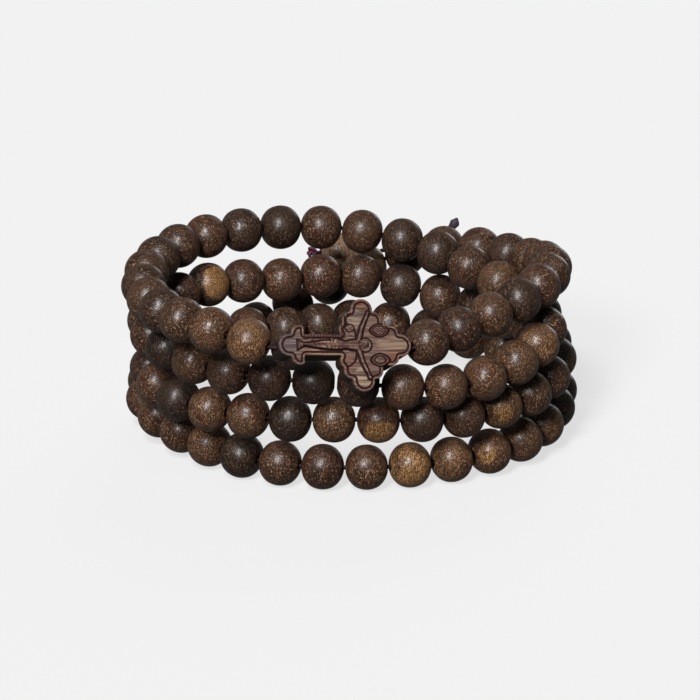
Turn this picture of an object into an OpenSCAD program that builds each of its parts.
// Beaded wrap bracelet of round wooden beads with a carved crucifix bead, lying coiled in four turns.
// One string runs from the guru bead at the back, clockwise from above, down through all four turns
// and back up to the guru bead. Z = 0 is the surface that it lies on, X is right and Y is back.

/* [Beads] */
// diameter of a bead, square to its bore
bead_d = 6.25; // [6:0.05:6.6]
// length of a bead along its bore, as a share of its diameter
bead_length_share = 0.92; // [0.9:0.01:0.93]
// radius of the wide domes at a bead's bored ends, as a share of its diameter
end_dome_share = 0.6; // [0.58:0.01:0.7]
// bore through a bead
bore_d = 1.2; // [1:0.1:1.6]
// smallest gap between the ends of two beads
bead_gap = 0.23; // [0.15:0.01:0.25]

/* [String] */
// thickness of the elastic cord
cord_d = 0.6; // [0.5:0.1:0.8]
// beads between the guru bead and the cross
beads_before_cross = 13; // [13:1:13]
// beads, counted from the guru bead, that are pieces of their own
single_beads = 40; // [30:1:45]
// bore in the side of the guru bead for the two cord tails
tail_bore_d = 2; // [1.8:0.1:2.2]
// width of the knot at the end of the tail
knot_d = 2.1; // [1.8:0.1:2.4]

/* [Cross] */
// length from foot to head
cross_length = 18.2; // [17.6:0.1:18.4]
// width across the arms
cross_width = 12.5; // [11:0.1:13.5]
// thickness of the bored shaft without the figure
cross_thickness = 4.6; // [4:0.1:5]
// thickness of the two arms, level with the shaft's face
arm_thickness = 3; // [2.4:0.1:3.6]
// width of the shaft and of the arms
shaft_w = 2.8; // [2.4:0.1:3.2]
// distance from the middle of the crossing to the tip of the head
head_reach = 6.7; // [6.2:0.1:7.2]
// how far the face leans back from upright, in degrees
face_lean = 29; // [25:1:35]

/* [Hidden] */
// columns are the clock hours 12, 1, 2 and so on to 11, seen from above, with 12 at the back;
// a row is one turn, from the top turn to the bottom one, drawn for beads of table_bead_d
table_bead_d = 6.25;
turn_radius = [
    [26.0, 28.0, 28.5, 28.0, 28.5, 29.0, 35.5, 36.0, 31.5, 27.5, 24.0, 20.5],
    [20.0, 20.0, 20.5, 25.5, 30.0, 30.5, 28.0, 30.0, 30.0, 27.0, 22.0, 18.5],
    [19.5, 22.5, 25.5, 28.5, 29.5, 27.5, 26.0, 27.0, 29.0, 27.0, 21.5, 17.0],
    [22.0, 27.5, 30.0, 29.0, 27.5, 24.5, 23.5, 24.0, 25.0, 28.5, 29.0, 26.5],
];
turn_height = [
    [14.5, 19.0, 20.5, 24.0, 25.0, 23.5, 23.0, 25.5, 24.5, 24.5, 24.5, 24.0],
    [23.0, 21.5, 20.0, 18.5, 18.0, 16.0, 17.0, 17.5, 18.0, 18.0, 18.0, 16.5],
    [16.5, 13.5, 12.5, 12.5, 11.0, 10.5, 11.0, 10.5, 10.5, 11.5, 11.0, 9.5],
    [8.5, 6.0, 5.5, 4.5, 3.5, 3.1, 3.1, 3.1, 3.5, 4.5, 6.0, 7.5],
];

// the string's route is a smooth closed curve through the table's places
size_k = bead_d / table_bead_d;
radii = size_k * [for (turn = turn_radius) each turn];
heights = size_k * [for (turn = turn_height) each turn];
places = len(radii);
hours = 12;
degrees_an_hour = 360 / hours;
steps_an_hour = 12;

function spline_weights(t) = [
    (-t + 2 * t * t - t * t * t) / 2,
    (2 - 5 * t * t + 3 * t * t * t) / 2,
    (t + 4 * t * t - 3 * t * t * t) / 2,
    (-t * t + t * t * t) / 2,
];
function between(list, place) =
    let (first = floor(place), w = spline_weights(place - first))
    w * [for (k = [-1:2]) list[(first + k + places) % places]];
function route_point(place) =
    let (angle = 90 - degrees_an_hour * place, radius = between(radii, place))
    [radius * cos(angle), radius * sin(angle), between(heights, place)];

route = [for (i = [0:places * steps_an_hour]) route_point(i / steps_an_hour)];
travel = [
    for (i = 0, s = 0; i < len(route); s = s + norm(route[min(i + 1, len(route) - 1)] - route[i]), i = i + 1)
        s
];
route_length = travel[len(travel) - 1];
route_axes = [for (axis = [0:2]) [for (i = [0:len(route) - 1]) [travel[i], route[i][axis]]]];
function along(s) =
    let (around = s - route_length * floor(s / route_length))
    [for (axis = [0:2]) lookup(around, route_axes[axis])];

// the beads share the string evenly, apart from the stretch that the cross takes
guru_start = 2.6;
cross_slack = 2;
cross_stretch = cross_length + cross_slack;
bead_length = bead_d * bead_length_share;
bead_count = floor((route_length - cross_stretch) / (bead_length + bead_gap));
pitch = (route_length - cross_stretch) / bead_count;
function bead_start(i) =
    guru_start + (i - 1 / 2) * pitch + (i > beads_before_cross ? cross_stretch : 0);
start_points = [for (i = [0:bead_count - 1]) along(bead_start(i))];
end_points = [for (i = [0:bead_count - 1]) along(bead_start(i) + pitch)];
centres = (start_points + end_points) / 2;
bead_axes = end_points - start_points;

// the tail bead lies behind the guru bead; offsets are from the guru bead's centre
tail_bead_offset = [-3.9, 5.3, 0];
tail_bead_axis = [-0.97, -0.2, 0.13];
tail_route = [
    [-0.45, 1, 0], [-0.45, 3.3, 0], [-0.35, 4.3, -0.1], [-0.15, 5, -0.2], [-0.2, 5.6, -0.3],
    [-0.6, 5.9, -0.4],
];
end_route = [
    [0.45, 1, 0], [0.45, 3.2, 0], [0.9, 4.3, 0.2], [2.2, 5, 0.6], [4, 5.2, 1.1], [6.4, 5, 1.7],
    [8.8, 4.5, 2.4], [10.6, 3.7, 3.3], [11.8, 2.8, 4.4], [12.4, 2.2, 5.2], [12.8, 1.8, 5.9],
    [13.1, 1.5, 6.7],
];
// thickness of the second tail at its last points, as shares of the cord's
end_shares = [1.8, 2.4, 0.6];
cord_sides = 8;
string_end_gap = 0.15;
// the knot's curve reaches this many strand radii from its middle and is pressed close
knot_reach = 3;
knot_press = 0.8;
knot_rings = 36;

// the origin is below the middle of the box around everything
guru_centre = centres[0];
tail_bead_centre = guru_centre + tail_bead_offset;
box_points = concat(centres, [tail_bead_centre]);
reach = bead_d / 2;
// how far the cross stands out in front of the beads
cross_proud = 1.24;
function lowest(axis) = min([for (p = box_points) p[axis]]) - reach;
function highest(axis) = max([for (p = box_points) p[axis]]) + reach;
origin = [(lowest(0) + highest(0)) / 2, (lowest(1) - cross_proud + highest(1)) / 2, lowest(2)];

// the cross hangs near the straight line between its two neighbours, turned a little from it
head_end = end_points[beads_before_cross];
foot_end = start_points[beads_before_cross + 1];
cross_line = head_end - foot_end;
// the cross's middle divides the line at this share, from the foot's neighbour
cross_place = 0.505;
cross_middle = foot_end + cross_place * cross_line;
cross_turn = 4;
cross_dip = 1.1;
cross_yaw = atan2(cross_line[1], cross_line[0]) + cross_turn;
cross_pitch = cross_dip - asin(cross_line[2] / norm(cross_line));
cross_axis = [cos(cross_yaw) * cos(cross_pitch), sin(cross_yaw) * cos(cross_pitch), -sin(cross_pitch)];
crossing_x = cross_length / 2 - head_reach;
tip_lobe_r = 1.5;
side_lobe_r = 1.2;
side_lobe_spread = 1.5;
side_lobe_back = 2.9;
leaf_r = 1.05;
leaf_place = 2.1;

// the figure is in low relief on the face
head_r = 0.5;
halo_r = 0.85;
halo_h = 0.2;
limb_r = 0.32;
figure_sink = 0.1;
shoulders = [-0.5, 0.5];
hands = [0.8, 4.3];
hips_x = -3.6;
feet_x = -8;
chest_r = 0.7;
hips_r = 0.55;

wood = "#4a3629";
light_wood = "#8a6a42";
cross_wood = "#5d4339";
cord_colour = "#5a2034";
round_fn = 64;
small_fn = 32;

// the beads after the single ones are joined in strands of about half a turn
strand_count = 6;
strands = [for (k = [1:strand_count]) str("strand_", k)];
// the cord between two beads of a strand is a small ball that joins them
joint_d = 1.2;
strand_beads = (bead_count - 1 - single_beads) / strand_count;
function strand_first(k) = single_beads + 1 + round(k * strand_beads);
function bead_name(i) = str("bead_", i < 10 ? "0" : "", i);

// places its children, drawn along Z, at a point and along a direction
module place_along(point, direction) {
    unit = direction / norm(direction);
    translate(point - origin)
        rotate([0, acos(unit[2]), atan2(unit[1], unit[0])])
            children();
}

module bead_body() {
    dome_r = bead_d * end_dome_share;
    dome_shift = dome_r - bead_length / 2;
    intersection() {
        sphere(d = bead_d, $fn = round_fn);
        translate([0, 0, dome_shift])
            sphere(r = dome_r, $fn = round_fn);
        translate([0, 0, -dome_shift])
            sphere(r = dome_r, $fn = round_fn);
    }
}

module bored_bead(point, direction, colour) {
    color(colour)
        place_along(point, direction)
            difference() {
                bead_body();
                cylinder(h = 2 * bead_d, d = bore_d, center = true, $fn = small_fn);
            }
}

// beads from first to last, joined by the cord through them
module strand(first, last) {
    color(wood) {
        for (i = [first:last])
            place_along(centres[i], bead_axes[i])
                bead_body();
        for (i = [first:last - 1])
            place_along(end_points[i], centres[i + 1] - centres[i])
                sphere(d = joint_d, $fn = small_fn);
    }
}

module trefoil() {
    translate([-tip_lobe_r, 0])
        circle(r = tip_lobe_r, $fn = round_fn);
    for (side = [-1, 1])
        translate([-side_lobe_back, side * side_lobe_spread])
            circle(r = side_lobe_r, $fn = round_fn);
}

// outlines in the face's own plane, head towards +X, origin at the middle of the bore
module shaft_outline() {
    translate([-cross_length / 2 + tip_lobe_r, -shaft_w / 2])
        square([cross_length - 2 * tip_lobe_r, shaft_w]);
    translate([cross_length / 2, 0])
        trefoil();
    translate([-cross_length / 2, 0])
        mirror([1, 0])
            trefoil();
}

module arms_outline() {
    translate([crossing_x - shaft_w / 2, -cross_width / 2 + tip_lobe_r])
        square([shaft_w, cross_width - 2 * tip_lobe_r]);
    for (side = [-1, 1])
        translate([crossing_x, side * cross_width / 2])
            rotate(side * 90)
                trefoil();
    for (x = [-1, 1], y = [-1, 1])
        translate([crossing_x + x * leaf_place, y * leaf_place])
            circle(r = leaf_r, $fn = round_fn);
}

// a tapered limb lying along the face, half sunk in it
module limb(from, to, r1, r2) {
    run = to - from;
    translate([crossing_x + from[0], from[1], cross_thickness / 2 - figure_sink])
        rotate([0, 90, atan2(run[1], run[0])])
            cylinder(h = norm(run), r1 = r1, r2 = r2, $fn = small_fn);
}

module figure() {
    translate([crossing_x + head_r, 0, cross_thickness / 2 - figure_sink]) {
        cylinder(h = figure_sink + halo_h, r = halo_r, $fn = small_fn);
        sphere(r = head_r, $fn = small_fn);
    }
    limb([shoulders[0], 0], [hips_x, 0], chest_r, hips_r);
    limb([hips_x, 0], [feet_x, 0], hips_r, limb_r);
    for (side = [-1, 1])
        limb([shoulders[0], side * shoulders[1]], [hands[0], side * hands[1]], limb_r, limb_r);
}

module cross_bead() {
    color(cross_wood)
        translate(cross_middle - origin)
            rotate([90 - face_lean, cross_pitch, cross_yaw])
                difference() {
                    union() {
                        linear_extrude(height = cross_thickness, center = true)
                            shaft_outline();
                        translate([0, 0, cross_thickness / 2 - arm_thickness])
                            linear_extrude(height = arm_thickness)
                                arms_outline();
                        figure();
                    }
                    rotate([0, 90, 0])
                        cylinder(h = 2 * cross_length, d = bore_d, center = true, $fn = small_fn);
                }
}

module guru_bead() {
    color(light_wood)
        difference() {
            bored_bead(guru_centre, bead_axes[0], light_wood);
            place_along(guru_centre, [0, 1, 0])
                cylinder(h = bead_d, d = tail_bore_d, $fn = small_fn);
        }
}

module tail_bead() {
    bored_bead(tail_bead_centre, tail_bead_axis, light_wood);
}

// an overhand knot drawn tight, as a trefoil curve
module cord_knot() {
    knot_place = (bead_length + knot_d) / 2 + string_end_gap;
    unit = tail_bead_axis / norm(tail_bead_axis);
    strand_r = knot_d / 2 / (knot_reach + 1);
    points = [
        for (i = [0:knot_rings - 1])
            let (t = 360 * i / knot_rings)
            strand_r * [sin(t) + 2 * sin(2 * t), cos(t) - 2 * cos(2 * t), -sin(3 * t)]
    ];
    place_along(tail_bead_centre + knot_place * unit, tail_bead_axis)
        tube(points, [for (p = points) strand_r * knot_press], closed = true);
}

// a tube through the points, with a radius for each
module tube(points, tube_radii, closed = false) {
    count = len(points);
    last = count - 1;
    rings = [
        for (i = [0:last])
            let (
                after = closed ? (i + 1) % count : min(i + 1, last),
                before = closed ? (i + last) % count : max(i - 1, 0),
                forward = points[after] - points[before],
                side = cross(forward, [0, 0, 1]) / norm(cross(forward, [0, 0, 1])),
                up = cross(side, forward) / norm(forward)
            )
            for (k = [0:cord_sides - 1])
                let (turn = k * 360 / cord_sides)
                points[i] + tube_radii[i] * (cos(turn) * side + sin(turn) * up)
    ];
    sides = [
        for (i = [0:closed ? last : last - 1], k = [0:cord_sides - 1])
            let (
                next = (k + 1) % cord_sides,
                here = i * cord_sides,
                there = (i + 1) % count * cord_sides
            )
            each [[here + k, there + k, there + next], [here + k, there + next, here + next]]
    ];
    caps = [
        [for (k = [0:cord_sides - 1]) k],
        [for (k = [cord_sides - 1:-1:0]) last * cord_sides + k]
    ];
    color(cord_colour)
        polyhedron(points = rings, faces = closed ? sides : concat(sides, caps), convexity = 10);
}

function even_radii(points) = [for (p = points) cord_d / 2];
function from_guru(offsets) = [for (offset = offsets) guru_centre + offset];

// through the guru bead, the single beads and the cross
module string_cord() {
    first_axis = bead_axes[0] / norm(bead_axes[0]);
    last_axis = bead_axes[single_beads] / norm(bead_axes[single_beads]);
    points = concat(
        [start_points[0] + string_end_gap * first_axis],
        [for (i = [0:beads_before_cross]) end_points[i]],
        [for (side = [1, -1]) cross_middle + side * cross_length / 2 * cross_axis],
        [for (i = [beads_before_cross + 1:single_beads]) start_points[i]],
        [end_points[single_beads] - string_end_gap * last_axis]
    );
    translate(-origin)
        tube(points, even_radii(points));
}

// from the guru bead through the tail bead to the knot
module tail_cord() {
    unit = tail_bead_axis / norm(tail_bead_axis);
    through = [for (side = [-1, 1]) tail_bead_centre + side * bead_length / 2 * unit];
    points = concat(from_guru(tail_route), through);
    translate(-origin)
        tube(points, even_radii(points));
}

// the second tail, laid behind the first beads, with a sealed point
module cord_end() {
    points = from_guru(end_route);
    plain = len(points) - len(end_shares);
    shares = [for (i = [0:len(points) - 1]) i < plain ? 1 : end_shares[i - plain]];
    translate(-origin)
        tube(points, shares * cord_d / 2);
}

for (i = [1:single_beads])
    bored_bead(centres[i], bead_axes[i], wood);
for (k = [0:strand_count - 1])
    strand(strand_first(k), strand_first(k + 1) - 1);
cross_bead();
guru_bead();
tail_bead();
cord_knot();
string_cord();
tail_cord();
cord_end();
